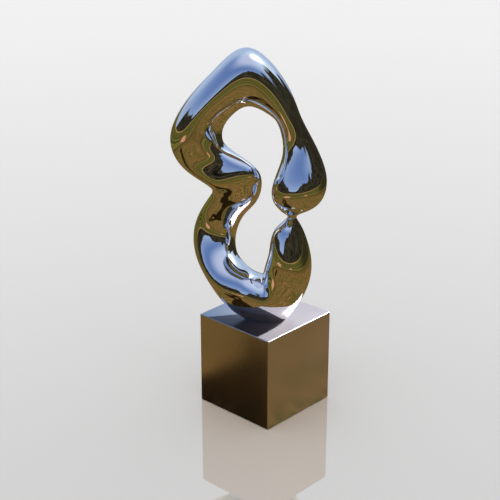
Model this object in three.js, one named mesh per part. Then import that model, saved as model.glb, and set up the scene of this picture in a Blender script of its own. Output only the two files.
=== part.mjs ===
// A closed loop of mirror-polished steel standing on a brushed-steel plinth.
// Millimetres, +Z up. X runs across the loop, its front faces -Y, and the
// origin is the centre of the plinth's underside.
import * as THREE from "three";

// Plinth: a square block turned so that one upright edge faces the front.
const PLINTH_SIDE = 220;
const PLINTH_HEIGHT = 230;
const PLINTH_TURN = Math.PI / 4;
const PLINTH_BEVEL = 1.2;

// The foot of the loop is ground flat and stands just clear of the plinth.
const SEAT_GAP = 0.3;
const SEAT_HEIGHT = PLINTH_HEIGHT + SEAT_GAP;

// Mesh density of the loop.
const ROWS_PER_RIB = 4;
const POINTS_AROUND = 28;

// The loop is one tube carried through these ribs, in order, anticlockwise from
// the crown. A rib spans the tube from the outer outline to the edge of the
// opening, both given as [across, back, up]. "deep" is half the tube's depth
// front to back, "lean" moves the fullest part of the rib towards its outer
// (positive) or inner (negative) edge, and "square" flattens its front and back
// (positive) or draws them in towards the edges (negative).
const RIBS = [
  { name: "crown", outer: [-35, 37, 861], inner: [-36, 37, 730], deep: 62, lean: 0.1, square: 0 },
  { name: "brow", outer: [-114, 35, 813], inner: [-71, 35, 714], deep: 60, lean: 0.3, square: 0 },
  { name: "temple", outer: [-179, 33, 741], inner: [-94, 33, 684], deep: 58, lean: 0.5, square: 0 },
  { name: "shoulder", outer: [-216, 31, 664], inner: [-98, 31, 655], deep: 56, lean: 0.3, square: 0 },
  { name: "upper arm", outer: [-198, 26, 602], inner: [-87, 28, 636], deep: 43, lean: 0.1, square: 0.4 },
  { name: "forearm", outer: [-160, 20, 569], inner: [-59, 6, 621], deep: 33, lean: 0.35, square: 0.5 },
  { name: "above elbow", outer: [-131, 20, 548], inner: [-23, -8, 596], deep: 34, lean: 0.35, square: 0.5 },
  { name: "elbow", outer: [-122, 30, 529], inner: [-9, 8, 555], deep: 38, lean: 0.1, square: 0.2 },
  { name: "waist", outer: [-129, 44, 508], inner: [-19, 38, 503], deep: 45, lean: 0, square: 0.1 },
  { name: "hip", outer: [-150, 70, 465], inner: [-48, 70, 455], deep: 45, lean: 0, square: 0 },
  { name: "thigh", outer: [-167, 74, 413], inner: [-67, 72, 404], deep: 45, lean: 0, square: 0.1 },
  { name: "flank", outer: [-162, 46, 360], inner: [-65, 42, 369], deep: 50, lean: -0.05, square: 0.2 },
  { name: "bowl", outer: [-132, 4, 311], inner: [-52, 6, 357], deep: 55, lean: -0.1, square: 0.25 },
  { name: "keel", outer: [-84, -28, 256], inner: [-34, -28, 353], deep: 56, lean: -0.3, square: -0.2 },
  { name: "foot", outer: [-20, -32, 220], inner: [-12, -32, 342], deep: 56, lean: -0.42, square: -0.25 },
  { name: "heel", outer: [40, -30, 225], inner: [-6, -40, 350], deep: 52, lean: -0.28, square: -0.15 },
  { name: "belly", outer: [86, -27, 286], inner: [-1, -44, 374], deep: 57, lean: 0, square: 0 },
  { name: "lobe", outer: [106, -26, 358], inner: [6, -46, 404], deep: 60, lean: 0, square: 0 },
  { name: "lobe top", outer: [95, -28, 426], inner: [14, -42, 445], deep: 46, lean: -0.1, square: 0 },
  { name: "below neck", outer: [78, -32, 468], inner: [36, -40, 473], deep: 26, lean: -0.2, square: 0 },
  { name: "neck", outer: [69, -35, 487], inner: [48, -35, 488], deep: 11, lean: 0, square: 0 },
  { name: "above neck", outer: [83, -36, 501], inner: [37, -36, 500], deep: 23, lean: 0, square: 0 },
  { name: "drop base", outer: [119, -36, 523], inner: [16, -36, 525], deep: 49, lean: 0, square: 0 },
  { name: "drop", outer: [136, -35, 567], inner: [14, -35, 563], deep: 61, lean: 0, square: 0 },
  { name: "drop top", outer: [127, -24, 616], inner: [32, -24, 613], deep: 50, lean: 0, square: 0 },
  { name: "limb", outer: [102, -13, 669], inner: [37, -13, 656], deep: 36, lean: 0, square: 0 },
  { name: "upper limb", outer: [76, -7, 721], inner: [26, -7, 699], deep: 34, lean: 0, square: 0 },
  { name: "limb root", outer: [43, 11, 792], inner: [4, 11, 719], deep: 44, lean: 0, square: 0 },
];

const steel = (colour, roughness) =>
  new THREE.MeshStandardMaterial({ color: colour, metalness: 1, roughness });

// Values that make a smooth closed cubic curve pass exactly through `through`:
// each one must satisfy (before + 4 * here + after) / 6 = through, and going
// round the ring a few times settles them all.
function curveControls(through) {
  const count = through.length;
  const controls = [...through];
  const passes = 40;
  for (let pass = 0; pass < passes; pass += 1) {
    for (let i = 0; i < count; i += 1) {
      const before = controls[(i + count - 1) % count];
      const after = controls[(i + 1) % count];
      controls[i] = (6 * through[i] - before - after) / 4;
    }
  }
  return controls;
}

// The closed curve's value a fraction `f` of the way from rib i to the next.
function curveValue(controls, i, f) {
  const count = controls.length;
  const weights = [
    (1 - f) ** 3,
    3 * f ** 3 - 6 * f ** 2 + 4,
    -3 * f ** 3 + 3 * f ** 2 + 3 * f + 1,
    f ** 3,
  ];
  let sum = 0;
  weights.forEach((weight, step) => {
    sum += weight * controls[(i + step + count - 1) % count];
  });
  return sum / 6;
}

// Every rib of the finished mesh, blended smoothly between the named ones.
function blendedRibs() {
  const table = RIBS.map((rib) => [...rib.outer, ...rib.inner, rib.deep, rib.lean, rib.square]);
  const columns = table[0].map((_, column) => curveControls(table.map((row) => row[column])));
  const ribs = [];
  for (let i = 0; i < RIBS.length; i += 1) {
    for (let row = 0; row < ROWS_PER_RIB; row += 1) {
      ribs.push(columns.map((controls) => curveValue(controls, i, row / ROWS_PER_RIB)));
    }
  }
  return ribs;
}

// One point of a rib. The turn runs from the outer edge (0) over the front to
// the inner edge (half a turn) and round the back.
function ribPoint(rib, turn) {
  const outer = new THREE.Vector3(...rib.slice(0, 3));
  const inner = new THREE.Vector3(...rib.slice(3, 6));
  const [deep, lean, square] = rib.slice(6);
  const side = Math.cos(turn);
  const point = new THREE.Vector3().lerpVectors(inner, outer, (1 + side) / 2);
  point.y -= deep * Math.sin(turn) * (1 + lean * side) * (1 + square * side * side);
  point.z = Math.max(point.z, SEAT_HEIGHT);
  return point.toArray();
}

function meshFrom(name, points, triangles, material) {
  const geometry = new THREE.BufferGeometry();
  geometry.setAttribute("position", new THREE.Float32BufferAttribute(points.flat(), 3));
  geometry.setIndex(triangles.flat());
  geometry.computeVertexNormals();
  const mesh = new THREE.Mesh(geometry, material);
  mesh.name = name;
  return mesh;
}

// The tube: the ribs' points joined row to row and round each row.
function buildLoop() {
  const ribs = blendedRibs();
  const points = [];
  for (const rib of ribs) {
    for (let k = 0; k < POINTS_AROUND; k += 1) {
      points.push(ribPoint(rib, (k / POINTS_AROUND) * 2 * Math.PI));
    }
  }
  const triangles = [];
  for (let row = 0; row < ribs.length; row += 1) {
    const nextRow = (row + 1) % ribs.length;
    for (let k = 0; k < POINTS_AROUND; k += 1) {
      const nextK = (k + 1) % POINTS_AROUND;
      const a = row * POINTS_AROUND + k;
      const b = row * POINTS_AROUND + nextK;
      const c = nextRow * POINTS_AROUND + nextK;
      const d = nextRow * POINTS_AROUND + k;
      triangles.push([a, c, b], [a, d, c]);
    }
  }
  return meshFrom("loop", points, triangles, steel(0xdfe2e6, 0.03));
}

// The plinth: level outlines joined upwards and closed by a flat face at each
// end. Every outline is a square with its corners cut by the bevel.
function buildPlinth() {
  const half = PLINTH_SIDE / 2;
  const levels = [
    { z: 0, inset: PLINTH_BEVEL },
    { z: PLINTH_BEVEL, inset: 0 },
    { z: PLINTH_HEIGHT - PLINTH_BEVEL, inset: 0 },
    { z: PLINTH_HEIGHT, inset: PLINTH_BEVEL },
  ];
  const points = [];
  for (const { z, inset } of levels) {
    const reach = half - inset;
    for (let corner = 0; corner < 4; corner += 1) {
      const turn = PLINTH_TURN + (corner * Math.PI) / 2;
      const along = new THREE.Vector2(Math.cos(turn), Math.sin(turn));
      const across = new THREE.Vector2(-along.y, along.x);
      for (const cut of [[reach, half - PLINTH_BEVEL], [half - PLINTH_BEVEL, reach]]) {
        const x = along.x * cut[0] + across.x * cut[1];
        const y = along.y * cut[0] + across.y * cut[1];
        points.push([x, y, z]);
      }
    }
  }
  const round = points.length / levels.length;
  const triangles = [];
  for (let level = 0; level < levels.length - 1; level += 1) {
    for (let k = 0; k < round; k += 1) {
      const a = level * round + k;
      const b = level * round + ((k + 1) % round);
      triangles.push([a, b, b + round], [a, b + round, a + round]);
    }
  }
  const top = (levels.length - 1) * round;
  for (let k = 1; k < round - 1; k += 1) {
    triangles.push([0, k + 1, k], [top, top + k, top + k + 1]);
  }
  return meshFrom("plinth", points, triangles, steel(0x9a958f, 0.32));
}

const sculpture = new THREE.Group();
sculpture.name = "sculpture";
sculpture.add(buildLoop(), buildPlinth());

export default sculpture;
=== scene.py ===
"""Looks for an abstract metal sculpture: one mirror-polished steel loop on a satin steel plinth.

The loop is one closed skin. It runs round twenty-eight ribs, from the crown down the left arm, through the
foot and up the right limb, and each rib is an egg-shaped hoop between an outer and an inner rail.
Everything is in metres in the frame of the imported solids; the rib table is in millimetres.
"""

import math

import bpy
import numpy as np
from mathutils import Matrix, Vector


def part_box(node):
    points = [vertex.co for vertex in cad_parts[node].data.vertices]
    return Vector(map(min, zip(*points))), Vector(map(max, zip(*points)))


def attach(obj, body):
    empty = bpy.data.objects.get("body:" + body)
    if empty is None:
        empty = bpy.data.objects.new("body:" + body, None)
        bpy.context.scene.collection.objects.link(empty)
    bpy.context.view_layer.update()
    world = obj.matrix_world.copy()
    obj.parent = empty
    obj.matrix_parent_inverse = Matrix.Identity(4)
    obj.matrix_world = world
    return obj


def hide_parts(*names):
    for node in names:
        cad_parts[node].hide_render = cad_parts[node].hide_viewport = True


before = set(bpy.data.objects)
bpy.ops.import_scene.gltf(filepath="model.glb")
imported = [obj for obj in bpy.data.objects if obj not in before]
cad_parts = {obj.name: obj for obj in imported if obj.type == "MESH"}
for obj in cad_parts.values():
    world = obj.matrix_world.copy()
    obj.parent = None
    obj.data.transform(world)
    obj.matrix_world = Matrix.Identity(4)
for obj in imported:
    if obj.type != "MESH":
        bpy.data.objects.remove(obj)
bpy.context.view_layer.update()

# ---- Driving sizes --------------------------------------------------------------------------------------

MM = 0.001
DEGREES = 180 / math.pi  # degrees in a radian

PLINTH_LOW, PLINTH_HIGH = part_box("plinth")
PLINTH_BEVEL = 1.2 * MM  # the solid's bevel, which takes a little off its width across the corners
PLINTH_SIDE = (PLINTH_HIGH.x - PLINTH_LOW.x) / math.sqrt(2) + PLINTH_BEVEL * (2 - math.sqrt(2))
PLINTH_HEIGHT = PLINTH_HIGH.z
PLINTH_TURN = math.radians(45)
PLINTH_EDGE = 2.5 * MM  # radius of the plinth's eased edges
EDGE_STEPS = 6  # faces across each eased edge

SEAT_GAP = 0.3 * MM
SEAT_HEIGHT = PLINTH_HEIGHT + SEAT_GAP  # the foot's flat rests this high
ROWS_PER_RIB = 28
POINTS_AROUND = 120

CREASE = math.radians(10)  # a fold sharper than this shades as an edge
PLINTH_CREASE = math.radians(40)  # the plinth's, so that its eased edges shade smoothly

# Each rib: outer rail point, inner rail point (across, back, up), half depth, lean of the depth outwards,
# and squareness of the hoop: 0 for round, up to 0.5 for a flat front, below 0 for one that draws in
# towards the rails.
RIBS = [
    ("crown", (-35, 37, 861), (-36, 37, 730), 62, 0.1, 0),
    ("brow", (-114, 35, 813), (-71, 35, 714), 60, 0.3, 0),
    ("temple", (-179, 33, 741), (-94, 33, 684), 58, 0.5, 0),
    ("shoulder", (-216, 31, 664), (-98, 31, 655), 56, 0.3, 0),
    ("upper arm", (-198, 26, 602), (-87, 28, 636), 43, 0.1, 0.4),
    ("forearm", (-160, 20, 569), (-59, 6, 621), 33, 0.35, 0.5),
    ("above elbow", (-131, 20, 548), (-23, -8, 596), 34, 0.35, 0.5),
    ("elbow", (-122, 30, 529), (-9, 8, 555), 38, 0.1, 0.2),
    ("waist", (-129, 44, 508), (-19, 38, 503), 45, 0, 0.1),
    ("hip", (-150, 70, 465), (-48, 70, 455), 45, 0, 0),
    ("thigh", (-167, 74, 413), (-67, 72, 404), 45, 0, 0.1),
    ("flank", (-162, 46, 360), (-65, 42, 369), 50, -0.05, 0.2),
    ("bowl", (-132, 4, 311), (-52, 6, 357), 55, -0.1, 0.25),
    ("keel", (-84, -28, 256), (-34, -28, 353), 56, -0.3, -0.2),
    ("foot", (-20, -32, 220), (-12, -32, 342), 56, -0.42, -0.25),
    ("heel", (40, -30, 225), (-6, -40, 350), 52, -0.28, -0.15),
    ("belly", (86, -27, 286), (-1, -44, 374), 57, 0, 0),
    ("lobe", (106, -26, 358), (6, -46, 404), 60, 0, 0),
    ("lobe top", (95, -28, 426), (14, -42, 445), 46, -0.1, 0),
    ("below neck", (78, -32, 468), (36, -40, 473), 26, -0.2, 0),
    ("neck", (69, -35, 487), (48, -35, 488), 11, 0, 0),
    ("above neck", (83, -36, 501), (37, -36, 500), 23, 0, 0),
    ("drop base", (119, -36, 523), (16, -36, 525), 49, 0, 0),
    ("drop", (136, -35, 567), (14, -35, 563), 61, 0, 0),
    ("drop top", (127, -24, 616), (32, -24, 613), 50, 0, 0),
    ("limb", (102, -13, 669), (37, -13, 656), 36, 0, 0),
    ("upper limb", (76, -7, 721), (26, -7, 699), 34, 0, 0),
    ("limb root", (43, 11, 792), (4, 11, 719), 44, 0, 0),
]

# Camera and daylight, as bearings from the front (towards +X) and heights above level, in degrees.
CAMERA_BEARING = -2.0
CAMERA_HEIGHT = 22.5
CAMERA_DISTANCE = 2.990
CAMERA_AIM = (-0.0362, 0.3918)  # across and up, on the plane through the sculpture's middle
CAMERA_LENS = 92.24
CAMERA_SENSOR = 36.0
SUN_BEARING = 118.0
SUN_HEIGHT = 37.0
SUN_SPREAD = 1.5
GLOW_BEARING = 126.0  # the brightest part of the sky
GLOW_HEIGHT = 60.0
SHEEN_BEARING = 132.0  # the middle of the bright sky that the plinth's satin sheen shows
SHEEN_HEIGHT = 50.0
SHEEN_SPREAD = 50.0
SHEEN_STRENGTH = 12.0
OVERHEAD_HEIGHT = 88.0
OVERHEAD_SPREAD = 120.0
OVERHEAD_STRENGTH = 1.04 * math.pi

# The stage, in metres: how far its sheets reach, and how far they stand above or below the floor.
FLOOR_REACH = 60.0
FILM_RISE = 0.5 * MM
GARDEN_REACH = 400.0
GARDEN_DROP = 1.0 * MM
FLOOR_SHINE = 0.43  # the share of the floor's light that its lacquer mirrors

# Salmon paving slabs in the garden: metres to the right, metres back, and half their side.
PAVING = [(-1.7, -1.3, 0.5), (0.8, -1.85, 0.25)]
PAVING_TURN = 0.5  # in radians

# The treetops, in degrees: they first rise at the left rear between two bearings from one height to
# another, and then rise or fall by a step from one bearing to the next.
FIRST_TREES = (-134.0, -120.0, -3.0, 19.0)
SKYLINE = [
    (-66.0, -46.0, -10.0),
    (-25.0, 0.0, 19.0),
    (27.0, 34.0, 12.0),
    (36.0, 42.0, -12.0),
    (42.0, 56.0, 9.0),
    (56.0, 66.0, 10.0),
    (98.0, 112.0, -22.0),
    (126.0, 150.0, -28.0),
]


# ---- Shapes ---------------------------------------------------------------------------------------------


def smooth_curve(values, turns):
    """A closed cubic curve through the ribs' values, read at the given turns (0 to the number of ribs).

    The controls solve (before + 4 here + after) / 6 = value, so that the curve passes through every rib.
    Between two ribs a point is the cubic B-spline blend of the four nearest controls.
    """
    count = len(values)
    same = np.eye(count)
    blend = (4 * same + np.roll(same, 1, 0) + np.roll(same, -1, 0)) / 6
    controls = np.linalg.solve(blend, values)
    here = np.floor(turns).astype(int)
    share = (turns - here)[:, None]
    weights = (
        (1 - share) ** 3,
        3 * share**3 - 6 * share**2 + 4,
        -3 * share**3 + 3 * share**2 + 3 * share + 1,
        share**3,
    )
    return sum(w * controls[(here + step) % count] for step, w in enumerate(weights, -1)) / 6


def loop_skin():
    """The loop's skin as rows of hoops, in metres.

    A point at turn u on a hoop lies between the rails by (1 + cos u) / 2, and comes forward by
    half depth * sin u * (1 + lean * cos u) * (1 + square * cos u * cos u). Nothing goes lower than the
    seat on the plinth.
    """
    table = np.array([(*outer, *inner, *shape) for _, outer, inner, *shape in RIBS], float)
    rows = len(RIBS) * ROWS_PER_RIB
    ribs = smooth_curve(table, np.arange(rows) / ROWS_PER_RIB)
    outer, inner = ribs[:, None, 0:3], ribs[:, None, 3:6]
    deep, lean, square = ribs[:, None, 6], ribs[:, None, 7], ribs[:, None, 8]
    turn = np.arange(POINTS_AROUND) * 2 * np.pi / POINTS_AROUND
    skin = inner + (outer - inner) * ((1 + np.cos(turn)) / 2)[None, :, None]
    side = np.cos(turn)
    skin[..., 1] -= deep * np.sin(turn) * (1 + lean * side) * (1 + square * side**2)
    skin *= MM
    skin[..., 2] = np.maximum(skin[..., 2], SEAT_HEIGHT)
    return skin


def ring_faces(rows, around, closed):
    """The four-sided faces between neighbouring rows, and round to the first row when closed."""
    row, point = np.meshgrid(np.arange(rows if closed else rows - 1), np.arange(around), indexing="ij")
    after_row, after_point = (row + 1) % rows, (point + 1) % around
    corners = (row, point), (row, after_point), (after_row, after_point), (after_row, point)
    return np.stack([r * around + p for r, p in corners], -1).reshape(-1, 4)


def block_skin(side, height, edge, turn):
    """A square block with eased edges, as level rings from the edge of its base to the edge of its top.

    Each ring is a square whose corners are quarter circles about four upright lines, the same for every
    ring. Up the base's eased edge the circles widen from nothing to the edge's radius, and over the top's
    they narrow to nothing again.
    """
    quarter = np.linspace(0, np.pi / 2, EDGE_STEPS + 1)
    radius = edge * np.concatenate([np.sin(quarter), np.cos(quarter)])
    level = np.concatenate([edge * (1 - np.cos(quarter)), height - edge + edge * np.sin(quarter)])
    corner = np.concatenate([quarter + k * np.pi / 2 for k in range(4)])
    centre = np.repeat(np.arange(4) * np.pi / 2 + np.pi / 4, EDGE_STEPS + 1)
    reach = (side / 2 - edge) * math.sqrt(2)
    ring = np.stack([reach * np.cos(centre), reach * np.sin(centre)], -1)
    bow = np.stack([np.cos(corner), np.sin(corner)], -1)
    flat = ring[None] + bow[None] * radius[:, None, None]
    cos, sin = math.cos(turn), math.sin(turn)
    flat = flat @ np.array([[cos, sin], [-sin, cos]])
    return np.concatenate([flat, np.broadcast_to(level[:, None, None], (*flat.shape[:2], 1))], -1)


def add_piece(name, points, faces, material, crease=CREASE):
    """A mesh object at the origin whose faces shade smoothly, apart from folds sharper than the crease."""
    mesh = bpy.data.meshes.new(name)
    mesh.from_pydata(points.reshape(-1, 3).tolist(), [], faces)
    mesh.polygons.foreach_set("use_smooth", np.ones(len(mesh.polygons), bool))
    mesh.set_sharp_from_angle(angle=crease)
    mesh.materials.append(material)
    mesh.validate()
    mesh.update()
    piece = bpy.data.objects.new(name, mesh)
    bpy.context.scene.collection.objects.link(piece)
    return piece


# ---- Nodes ----------------------------------------------------------------------------------------------


def node(tree, kind, inputs=(), **settings):
    """One node with its settings. Inputs are values or sockets, given in order or by name."""
    made = tree.nodes.new("ShaderNode" + kind)
    for name, value in settings.items():
        setattr(made, name, value)
    for key, value in inputs.items() if isinstance(inputs, dict) else enumerate(inputs):
        if isinstance(value, bpy.types.NodeSocket):
            tree.links.new(value, made.inputs[key])
        elif value is not None:
            made.inputs[key].default_value = value
    return made


def maths(tree, operation, *values):
    """The result of one sum on numbers or sockets."""
    return node(tree, "Math", values, operation=operation).outputs[0]


def rise(tree, value, start, end, low=0.0, high=1.0):
    """A smooth step from low to high as the value goes from start to end."""
    made = node(tree, "MapRange", (value, start, end, low, high), interpolation_type="SMOOTHSTEP")
    return made.outputs[0]


def hill(tree, value, middle, width):
    """A smooth hill from 0 to 1 and back, of the given half width round one value."""
    away = maths(tree, "ABSOLUTE", maths(tree, "SUBTRACT", value, middle))
    return rise(tree, away, 0.0, width, 1.0, 0.0)


def mix(tree, share, first, second):
    """A colour part of the way from the first to the second."""
    made = node(tree, "Mix", {0: share, 6: first, 7: second}, data_type="RGBA")
    return made.outputs[2]


def noise(tree, vector, scale, detail=3.0, roughness=0.5, **settings):
    """A noise value from 0 to 1 over the given coordinates."""
    made = node(tree, "TexNoise", {"Scale": scale, "Detail": detail, "Roughness": roughness}, **settings)
    tree.links.new(vector, made.inputs["W" if settings.get("noise_dimensions") == "1D" else "Vector"])
    return made.outputs[0]


def stretched(tree, vector, scale, turn=0.0):
    """The coordinates turned about the vertical and stretched."""
    return node(tree, "Mapping", {"Vector": vector, "Scale": scale, "Rotation": (0, 0, turn)}).outputs[0]


def paint(red, green, blue):
    """A colour from its 0 to 255 values."""
    share = np.array([red, green, blue]) / 255
    linear = np.where(share <= 0.04045, share / 12.92, ((share + 0.055) / 1.055) ** 2.4)
    return (*linear.tolist(), 1.0)


def bearing_of(tree, x, y):
    """The bearing from the front, in degrees, of a point or a direction."""
    return maths(tree, "MULTIPLY", maths(tree, "ARCTAN2", x, maths(tree, "MULTIPLY", y, -1.0)), DEGREES)


def height_of(tree, z):
    """The height above level, in degrees, of a direction."""
    return maths(tree, "MULTIPLY", maths(tree, "ARCSINE", z), DEGREES)


def direction(bearing, height):
    """The unit vector towards a bearing from the front and a height above level, in degrees."""
    a, h = math.radians(bearing), math.radians(height)
    return math.sin(a) * math.cos(h), -math.cos(a) * math.cos(h), math.sin(h)


# ---- Finishes -------------------------------------------------------------------------------------------


def new_material(name):
    """An empty node material, its tree, and its output node."""
    made = bpy.data.materials.new(name)
    made.use_nodes = True
    made.node_tree.nodes.clear()
    return made, made.node_tree, node(made.node_tree, "OutputMaterial")


def mirror_steel():
    """Mirror-polished stainless steel: faint hand-polishing haze and the slightest unevenness."""
    made, tree, out = new_material("mirror_steel")
    place = node(tree, "TexCoord").outputs["Object"]
    haze = noise(tree, place, 9.0, 5.0, 0.6)
    rubbed = noise(tree, stretched(tree, place, (240, 240, 30)), 1.0, 3.0, 0.6)
    hazed = rise(tree, haze, 0.45, 0.85, 0.012, 0.045)
    gloss = maths(tree, "ADD", hazed, maths(tree, "MULTIPLY", rubbed, 0.014))
    clear, dulled = (0.93, 0.93, 0.94, 1), (0.88, 0.88, 0.89, 1)
    colour = mix(tree, rise(tree, haze, 0.3, 0.8), clear, dulled)
    wave = noise(tree, place, 26.0, 2.0, 0.4)
    uneven = node(tree, "Bump", {"Height": wave, "Strength": 0.05, "Distance": 0.0012})
    steel = node(
        tree,
        "BsdfPrincipled",
        {"Base Color": colour, "Metallic": 1.0, "Roughness": gloss, "Normal": uneven.outputs[0]},
    )
    tree.links.new(steel.outputs[0], out.inputs[0])
    return made


def satin_steel():
    """Satin steel: upright grain on the sides, painted highlights on the eased edges, and a mostly matt
    blasted top with painted blue-grey shade and sky reflection at its left."""
    made, tree, out = new_material("satin_steel")
    place = node(tree, "TexCoord").outputs["Object"]
    facing = node(tree, "SeparateXYZ", (node(tree, "NewGeometry").outputs["Normal"],)).outputs[2]
    top = rise(tree, facing, 0.5, 0.9)
    upright = noise(tree, stretched(tree, place, (900, 900, 14), PLINTH_TURN), 1.0, 3.0, 0.7)
    across = noise(tree, stretched(tree, place, (60, 900, 900), PLINTH_TURN), 1.0, 3.0, 0.7)
    grain = node(tree, "Mix", {0: top, 2: upright, 3: across}, data_type="FLOAT").outputs[0]
    cloud = noise(tree, place, 7.0, 4.0, 0.55)
    side_gloss, top_gloss = rise(tree, cloud, 0.3, 0.7, 0.28, 0.34), 0.24
    gloss = node(tree, "Mix", {0: top, 2: side_gloss, 3: top_gloss}, data_type="FLOAT").outputs[0]
    gloss = maths(tree, "ADD", gloss, maths(tree, "MULTIPLY", maths(tree, "SUBTRACT", grain, 0.5), 0.08))
    brushed_light, brushed_dark = (0.87, 0.80, 0.85, 1), (0.82, 0.75, 0.80, 1)
    blasted_light, blasted_dark = (0.56, 0.52, 0.56, 1), (0.50, 0.47, 0.51, 1)
    # the last two colours are painted light: a blue-grey painted shade and sky reflection for the top's
    # left, and a painted highlight for the eased edges
    painted_sky_shade, painted_edge_highlight = (0.13, 0.22, 0.37, 1), (0.95, 0.94, 0.94, 1)
    sides = mix(tree, grain, brushed_light, brushed_dark)
    blasted = mix(tree, grain, blasted_light, blasted_dark)
    # painted shade and sky reflection: the top is made darker and bluer towards its left
    painted_sky_shade_mask = rise(tree, node(tree, "SeparateXYZ", (place,)).outputs[0], -0.15, 0.04, 0.9, 0.0)
    colour = mix(tree, top, sides, mix(tree, painted_sky_shade_mask, blasted, painted_sky_shade))
    # painted highlight: the eased edges between the sides and the top get a paler colour
    above_sides = rise(tree, facing, 0.15, 0.4)
    below_top = rise(tree, facing, 0.85, 0.95, 1.0, 0.0)
    colour = mix(tree, maths(tree, "MULTIPLY", above_sides, below_top), colour, painted_edge_highlight)
    brushed = node(tree, "Bump", {"Height": grain, "Strength": 0.05, "Distance": 0.0001})
    matt = maths(tree, "MULTIPLY", top, 0.92)
    metal = maths(tree, "SUBTRACT", 1.0, matt)
    steel = node(
        tree,
        "BsdfPrincipled",
        {
            "Base Color": colour,
            "Metallic": metal,
            "Roughness": gloss,
            "Normal": brushed.outputs[0],
            "Specular IOR Level": 0.3,
        },
    )
    tree.links.new(steel.outputs[0], out.inputs[0])
    return made


# ---- Pieces ---------------------------------------------------------------------------------------------


def make_loop():
    """The whole loop as one closed skin."""
    skin = loop_skin()
    faces = ring_faces(*skin.shape[:2], closed=True)
    loop = add_piece("loop_skin", skin, faces.tolist(), mirror_steel())
    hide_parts("loop")
    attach(loop, "root")


def make_plinth():
    """The square plinth with its eased edges, closed by one flat face below and one above."""
    skin = block_skin(PLINTH_SIDE, PLINTH_HEIGHT, PLINTH_EDGE, PLINTH_TURN)
    rings, around = skin.shape[:2]
    faces = ring_faces(rings, around, closed=False).tolist()
    faces.append(list(range(around))[::-1])
    faces.append(list(range((rings - 1) * around, rings * around)))
    plinth = add_piece("plinth_block", skin, faces, satin_steel(), PLINTH_CREASE)
    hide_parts("plinth")
    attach(plinth, "root")


# ---- Surroundings ---------------------------------------------------------------------------------------


def flat_sheet(name, reach, level, material):
    """A square sheet round the origin, for the stage."""
    outline = [(-reach, -reach), (reach, -reach), (reach, reach), (-reach, reach)]
    corners = np.array([(x, y, level) for x, y in outline])
    sheet = add_piece(name, corners, [(0, 1, 2, 3)], material)
    return sheet


def pale_floor():
    """A plain pale lacquered floor whose painted shading lightens it a little away from the plinth, and
    which mirrors it faintly.
    """
    made, tree, out = new_material("pale_floor")
    place = node(tree, "TexCoord").outputs["Object"]
    away = node(tree, "VectorMath", (place,), operation="LENGTH").outputs["Value"]
    # painted shade: the floor's colour is darker near the plinth and paler far off, standing in for how the
    # light falls
    near, far = paint(216, 216, 216), paint(243, 243, 243)
    colour = mix(tree, rise(tree, away, 0.0, 5.0), near, far)
    paintwork = node(tree, "BsdfDiffuse", {"Color": colour})
    shine = node(tree, "BsdfGlossy", {"Color": (1, 1, 1, 1), "Roughness": 0.0})
    lacquer = node(tree, "MixShader", (FLOOR_SHINE, paintwork.outputs[0], shine.outputs[0]))
    tree.links.new(lacquer.outputs[0], out.inputs[0])
    floor = flat_sheet("floor", FLOOR_REACH, 0.0, made)
    floor.visible_glossy = False
    floor.visible_shadow = False
    return floor


def floor_film():
    """A clear film just above the floor. The surroundings know by it what is seen by way of the floor."""
    made, tree, out = new_material("clear_film")
    tree.links.new(node(tree, "BsdfTransparent").outputs[0], out.inputs[0])
    film = flat_sheet("floor_film", FLOOR_REACH, FILM_RISE, made)
    film.visible_diffuse = False
    film.visible_glossy = False
    film.visible_shadow = False


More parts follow.
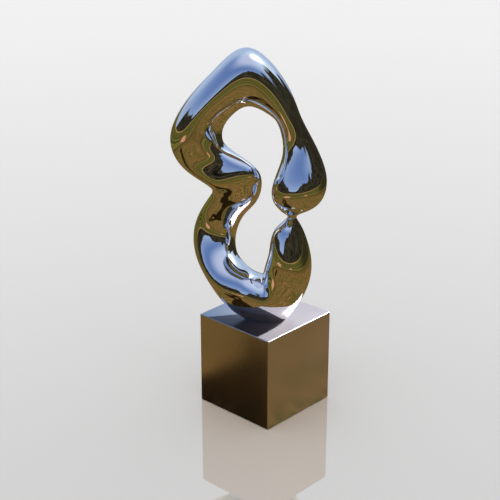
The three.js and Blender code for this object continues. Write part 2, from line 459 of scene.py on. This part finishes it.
def garden_ground():
    """The ground that only the polished steel sees: bare earth near the plinth, streaked grass beyond it,
    and sandy ground far off. The trees shade its right side, and it is pale towards the rear."""
    made, tree, out = new_material("garden_ground")
    place = node(tree, "TexCoord").outputs["Object"]
    away = node(tree, "VectorMath", (place,), operation="LENGTH").outputs["Value"]
    x, y, _ = node(tree, "SeparateXYZ", (place,)).outputs
    bearing = bearing_of(tree, x, y)
    patchy = noise(tree, place, 1.2, 5.0, 0.6)
    crumbs = noise(tree, place, 36.0, 4.0, 0.7)
    octaves = maths(tree, "LOGARITHM", away, 2.0)
    streaks = noise(tree, octaves, 3.5, 3.0, 0.6, noise_dimensions="1D")
    clumps = noise(tree, place, 5.0, 4.0, 0.65)

    dark_earth, light_earth = paint(60, 48, 22), paint(148, 116, 66)
    moss, trodden = paint(82, 80, 34), paint(58, 44, 22)
    earth = mix(tree, rise(tree, crumbs, 0.3, 0.7), dark_earth, light_earth)
    earth = mix(tree, rise(tree, clumps, 0.46, 0.62, 0.0, 0.7), earth, moss)
    worn = maths(tree, "MULTIPLY", rise(tree, streaks, 0.44, 0.60, 0.0, 0.5), rise(tree, away, 0.9, 1.4))
    earth = mix(tree, worn, earth, trodden)

    dark_grass, light_grass, grass_streak = paint(72, 72, 30), paint(128, 120, 60), paint(50, 48, 20)
    grass = mix(tree, patchy, dark_grass, light_grass)
    grass = mix(tree, rise(tree, streaks, 0.44, 0.58), grass, grass_streak)
    edge = maths(tree, "ADD", away, maths(tree, "MULTIPLY", patchy, 1.2))
    colour = mix(tree, rise(tree, edge, 1.6, 2.6), earth, grass)

    salmon = paint(184, 136, 106)
    for across, along, half in PAVING:
        slab = node(tree, "VectorMath", (place, (across, along, 0.0)), operation="SUBTRACT").outputs[0]
        slab = node(tree, "SeparateXYZ", (stretched(tree, slab, (1, 1, 1), PAVING_TURN),)).outputs
        reach = maths(tree, "MAXIMUM", maths(tree, "ABSOLUTE", slab[0]), maths(tree, "ABSOLUTE", slab[1]))
        colour = mix(tree, maths(tree, "LESS_THAN", reach, half), colour, salmon)

    sandy, tree_shade, pale_rear = paint(158, 126, 78), paint(36, 34, 20), paint(150, 164, 190)
    colour = mix(tree, rise(tree, away, 20.0, 34.0), colour, sandy)
    shade = maths(tree, "MULTIPLY", rise(tree, bearing, 65.0, 100.0), rise(tree, away, 1.2, 2.0, 0.0, 0.85))
    colour = mix(tree, shade, colour, tree_shade)
    behind = rise(tree, maths(tree, "ABSOLUTE", bearing), 158.0, 170.0)
    behind = maths(tree, "MULTIPLY", behind, rise(tree, away, 2.0, 4.0))
    colour = mix(tree, behind, colour, pale_rear)
    turf = node(tree, "BsdfDiffuse", {"Color": colour})
    # painted fill light: the ground also glows faintly in its own colour, so that its shadows are not black
    painted_skylight_glow = node(tree, "Emission", {"Color": colour, "Strength": 0.09})
    lit_turf = node(tree, "AddShader", (turf.outputs[0], painted_skylight_glow.outputs[0]))
    tree.links.new(lit_turf.outputs[0], out.inputs[0])
    ground = flat_sheet("garden_ground", GARDEN_REACH, -GARDEN_DROP, made)
    ground.visible_camera = False
    ground.visible_diffuse = False
    ground.visible_shadow = False
    return ground


def garden_sky(tree):
    """The colour of the sky and the trees by bearing and height, for what the polished steel sees.

    The treetops stand at about 19 degrees at the left rear, 9 at the left front, 28 in front, up to 47 on
    the right and 25 at the right rear, with a ragged edge, and below level behind. The sky is blue, pale
    low down, behind and overhead, and white in its brightest part.
    """
    look = node(tree, "TexCoord").outputs["Generated"]
    x, y, z = node(tree, "SeparateXYZ", (look,)).outputs
    bearing, height = bearing_of(tree, x, y), height_of(tree, z)
    brightest = direction(GLOW_BEARING, GLOW_HEIGHT)
    to_glow = node(tree, "VectorMath", (look, brightest), operation="DOT_PRODUCT").outputs["Value"]
    from_glow = maths(tree, "MULTIPLY", maths(tree, "ARCCOSINE", to_glow), DEGREES)

    blue, pale, high_haze = paint(98, 126, 180), paint(206, 226, 248), paint(190, 200, 230)
    glare = (1.6, 1.6, 1.6, 1)
    behind = rise(tree, maths(tree, "ABSOLUTE", bearing), 120.0, 160.0)
    low_haze = rise(tree, height, 0.0, 45.0, 0.45, 0.0)
    haze = maths(tree, "MAXIMUM", low_haze, maths(tree, "MULTIPLY", behind, 0.6))
    haze = maths(tree, "MAXIMUM", haze, rise(tree, from_glow, 15.0, 75.0, 1.0, 0.0))
    sky = mix(tree, haze, blue, pale)
    sky = mix(tree, rise(tree, height, 46.0, 82.0), sky, high_haze)
    sky = mix(tree, rise(tree, from_glow, 2.0, 26.0, 1.0, 0.0), sky, glare)

    start, end, low, high = FIRST_TREES
    treetops = rise(tree, bearing, start, end, low, high)
    for start, end, step in SKYLINE:
        treetops = maths(tree, "ADD", treetops, rise(tree, bearing, start, end, 0.0, step))
    ragged = noise(tree, bearing, 0.16, 8.0, 0.68, noise_dimensions="1D")
    ragged = maths(tree, "MULTIPLY", maths(tree, "SUBTRACT", ragged, 0.5), 0.7)
    treetops = maths(tree, "MULTIPLY", treetops, maths(tree, "ADD", ragged, 1.0))

    dark_leaves, light_leaves, sandy = paint(17, 14, 13), paint(76, 72, 54), paint(150, 120, 72)
    leaves = noise(tree, stretched(tree, look, (26, 26, 9)), 1.0, 6.0, 0.75)
    trees = mix(tree, rise(tree, leaves, 0.4, 0.66), dark_leaves, light_leaves)
    over_trees = rise(tree, maths(tree, "SUBTRACT", height, treetops), -0.4, 0.4)
    view = mix(tree, over_trees, trees, sky)
    in_front = rise(tree, hill(tree, bearing, 0.0, 80.0), 0.1, 0.3)
    path = maths(tree, "MULTIPLY", rise(tree, height, 0.5, 0.9, 1.0, 0.0), in_front)
    return mix(tree, path, view, sandy)


def make_world():
    """Pale air for the camera and the floor's shine, dim light for matt things, a garden for the steel.

    The floor's shine sees the air darken with height, which makes the floor darker towards the camera.
    """
    world = bpy.data.worlds.new("surroundings")
    bpy.context.scene.world = world
    world.use_nodes = True
    tree = world.node_tree
    tree.nodes.clear()
    seen = node(tree, "LightPath").outputs
    dim_light, backdrop = (0.022, 0.016, 0.02, 1), paint(243, 243, 243)
    plain = mix(tree, seen["Is Camera Ray"], dim_light, backdrop)
    low_air, high_air, under_sheen = paint(232, 232, 232), paint(190, 190, 190), paint(162, 136, 92)
    look = node(tree, "SeparateXYZ", (node(tree, "TexCoord").outputs["Generated"],)).outputs
    pale_air = mix(tree, rise(tree, height_of(tree, look[2]), 16.0, 38.0), low_air, high_air)
    by_floor = mix(tree, seen["Is Singular Ray"], under_sheen, pale_air)
    off_floor = maths(tree, "GREATER_THAN", seen["Transparent Depth"], 0.5)
    polished = mix(tree, off_floor, garden_sky(tree), by_floor)
    colour = mix(tree, seen["Is Glossy Ray"], plain, polished)
    background = node(tree, "Background", {"Color": colour, "Strength": 1.0})
    tree.links.new(background.outputs[0], node(tree, "OutputWorld").inputs[0])


def add_sun(name, bearing, height, strength, spread, lit):
    """A distant light that shines only on the objects in lit."""
    lamp = bpy.data.lights.new(name, "SUN")
    lamp.energy = strength
    lamp.angle = math.radians(spread)
    sun = bpy.data.objects.new(name, lamp)
    towards = -np.array(direction(bearing, height))
    sun.rotation_euler = Vector(towards).to_track_quat("-Z", "Y").to_euler()
    bpy.context.scene.collection.objects.link(sun)
    group = bpy.data.collections.new("lit_by_" + name)
    for thing in lit:
        group.objects.link(thing)
    sun.light_linking.receiver_collection = group
    sun.visible_glossy = False
    return sun


def add_glint(name, bearing, height, strength, spread, lit):
    """A broad patch of bright sky that shows only in the satin sheen of the objects in lit.

    What is seen by way of the floor is left without it.
    """
    glint = add_sun(name, bearing, height, strength, spread, lit)
    glint.visible_glossy = True
    glint.visible_diffuse = False
    glint.data.use_nodes = True
    tree = glint.data.node_tree
    tree.nodes.clear()
    films = node(tree, "LightPath").outputs["Transparent Depth"]
    shine = node(tree, "Emission", {"Strength": maths(tree, "LESS_THAN", films, 0.5)})
    tree.links.new(shine.outputs[0], node(tree, "OutputLight").inputs[0])


def make_lights(floor, ground):
    """A soft overhead light for the floor, one daylight key for the steel and for the ground it sees, and
    the bright sky near the sun for the plinth's sheen."""
    loop, plinth = bpy.data.objects["loop_skin"], bpy.data.objects["plinth_block"]
    add_sun("soft_overhead", 0.0, OVERHEAD_HEIGHT, OVERHEAD_STRENGTH, OVERHEAD_SPREAD, [floor])
    key_strength = math.pi / math.sin(math.radians(SUN_HEIGHT))
    add_sun("daylight_key", SUN_BEARING, SUN_HEIGHT, key_strength, SUN_SPREAD, [ground, loop, plinth])
    add_glint("bright_sky", SHEEN_BEARING, SHEEN_HEIGHT, SHEEN_STRENGTH, SHEEN_SPREAD, [plinth])


def make_camera():
    """The camera stands in front, a little to the left and above, and looks down at the sculpture."""
    back = np.array(direction(CAMERA_BEARING, CAMERA_HEIGHT))
    bearing = math.radians(CAMERA_BEARING)
    right = np.array([math.cos(bearing), math.sin(bearing), 0.0])
    across, up = CAMERA_AIM
    aim = right * across + np.array([0.0, 0.0, up])
    data = bpy.data.cameras.new("camera")
    data.lens = CAMERA_LENS
    data.sensor_width = CAMERA_SENSOR
    camera = bpy.data.objects.new("camera", data)
    camera.location = aim + back * CAMERA_DISTANCE
    camera.rotation_euler = Vector(-back).to_track_quat("-Z", "Y").to_euler()
    bpy.context.scene.collection.objects.link(camera)
    bpy.context.scene.camera = camera


make_loop()
make_plinth()
make_world()
make_lights(pale_floor(), garden_ground())
floor_film()
make_camera()
bpy.context.scene.view_settings.view_transform = "Standard"
